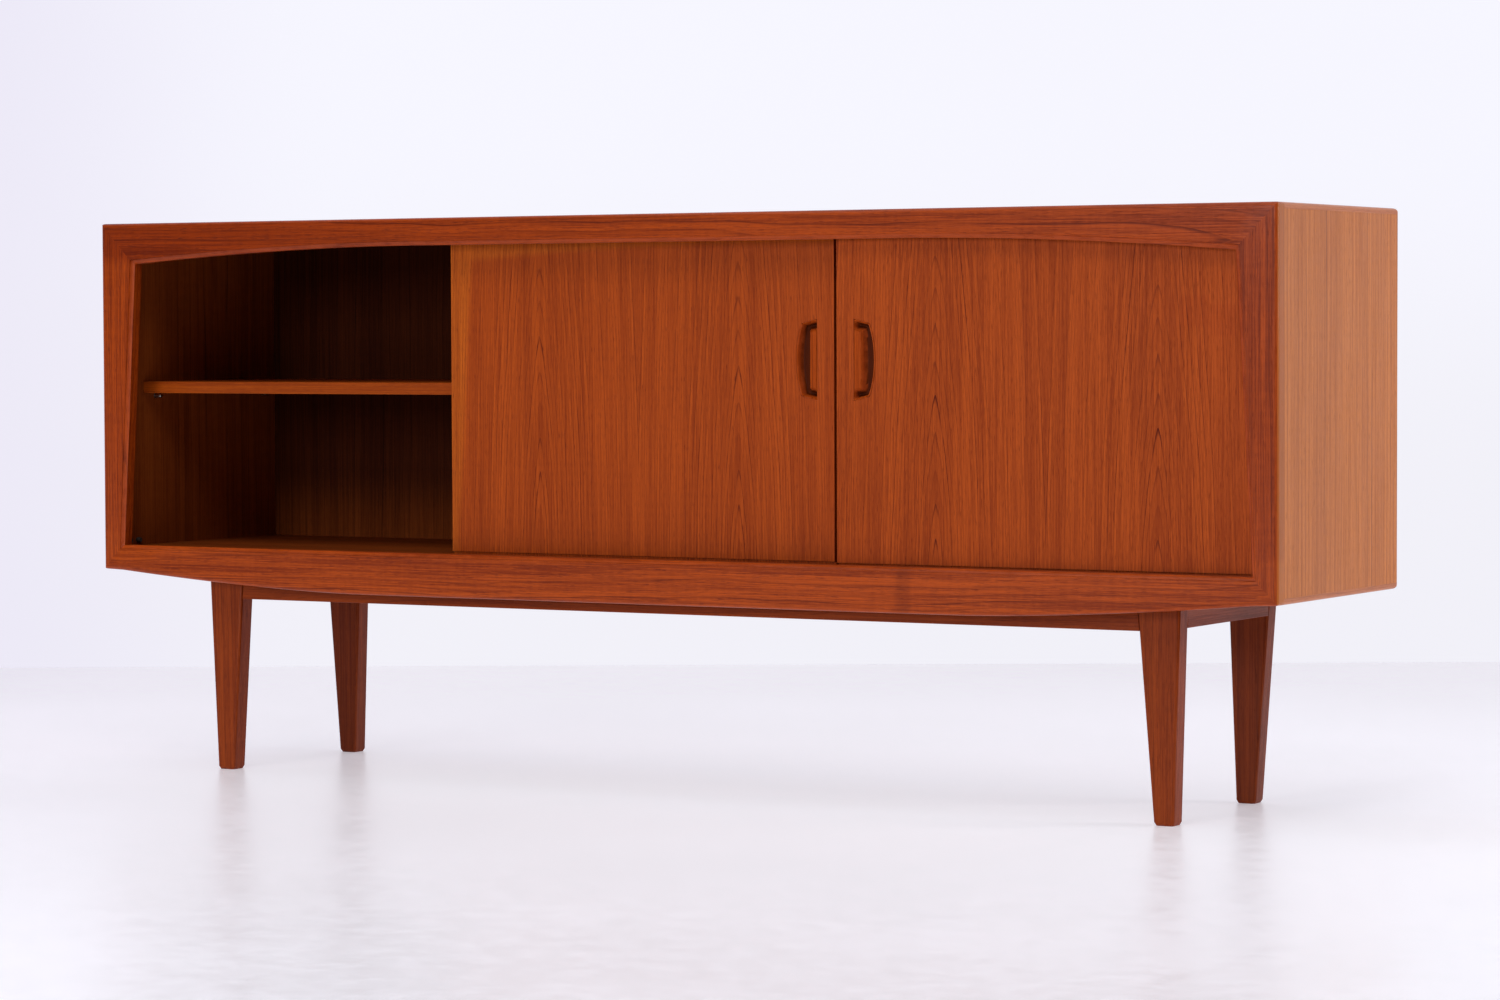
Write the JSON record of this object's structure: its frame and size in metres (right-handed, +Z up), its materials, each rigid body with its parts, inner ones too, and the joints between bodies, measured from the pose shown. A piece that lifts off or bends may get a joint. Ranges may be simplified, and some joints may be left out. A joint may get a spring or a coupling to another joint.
{
  "type": "tv stand with doors",
  "caption": "Long low teak cabinet with sliding doors, recessed finger pulls, open shelved bay and a bowed mitred front frame on a tapered leg frame.",
  "frame": {"origin": "centre of the footprint on the floor, midway between the ends and between the front and back faces", "axes": "+X along the length to the viewer's right when facing the doors, +Y from the front face to the back, +Z up"},
  "size_m": [1.85, 0.401, 0.793],
  "materials": {
    "teak_frame": "oiled solid teak, satin",
    "teak_door": "oiled teak veneer, satin",
    "teak_veneer": "faded teak veneer, satin",
    "teak_inside": "teak veneer, dry",
    "teak_legs": "oiled solid teak, satin",
    "steel": "turned",
    "dark_rubber": "matt",
    "nylon": "matt"
  },
  "bodies": {
    "cabinet": {"back_panel": "teak_inside", "bottom_panel": "teak_inside", "centre_shelf": "teak_inside", "centre_shelf_pin_left_front": "steel", "centre_shelf_pin_left_rear": "steel", "centre_shelf_pin_right_front": "steel", "centre_shelf_pin_right_rear": "steel", "frame_bottom_rail": "teak_frame", "frame_left_stile": "teak_frame", "frame_right_stile": "teak_frame", "frame_top_rail": "teak_frame", "front_apron": "teak_legs", "front_track_stop_left": "dark_rubber", "front_track_stop_right": "dark_rubber", "left_apron": "teak_legs", "left_divider": "teak_inside", "left_front_base_screw": "steel", "left_front_corner_block": "teak_legs", "left_front_leg": "teak_legs", "left_lower_lipping": "teak_frame", "left_rear_base_screw": "steel", "left_rear_corner_block": "teak_legs", "left_rear_leg": "teak_legs", "left_shelf": "teak_inside", "left_shelf_pin_left_front": "steel", "left_shelf_pin_left_rear": "steel", "left_shelf_pin_right_front": "steel", "left_shelf_pin_right_rear": "steel", "left_side_panel": "teak_veneer", "left_upper_lipping": "teak_frame", "lower_track": "teak_inside", "rear_apron": "teak_legs", "rear_track_stop_left": "dark_rubber", "rear_track_stop_right": "dark_rubber", "right_apron": "teak_legs", "right_divider": "teak_inside", "right_front_base_screw": "steel", "right_front_corner_block": "teak_legs", "right_front_leg": "teak_legs", "right_lower_lipping": "teak_frame", "right_rear_base_screw": "steel", "right_rear_corner_block": "teak_legs", "right_rear_leg": "teak_legs", "right_shelf": "teak_inside", "right_shelf_pin_left_front": "steel", "right_shelf_pin_left_rear": "steel", "right_shelf_pin_right_front": "steel", "right_shelf_pin_right_rear": "steel", "right_side_panel": "teak_veneer", "right_upper_lipping": "teak_frame", "top_panel": "teak_veneer", "upper_track": "teak_inside"},
    "left_sliding_door": {"left_door": "teak_door", "left_door_glide_left": "nylon", "left_door_glide_right": "nylon", "left_door_pull": "teak_door"},
    "right_sliding_door": {"right_door": "teak_door", "right_door_glide_left": "nylon", "right_door_glide_right": "nylon", "right_door_pull": "teak_door"}
  },
  "joints": [
    {"name": "left_door_slide", "type": "slide", "parent": "cabinet", "child": "left_sliding_door", "axis": [1, 0, 0], "range_m": [-0.5569, 0.6273]},
    {"name": "right_door_slide", "type": "slide", "parent": "cabinet", "child": "right_sliding_door", "axis": [1, 0, 0], "range_m": [-1.1842, 0]}
  ]
}
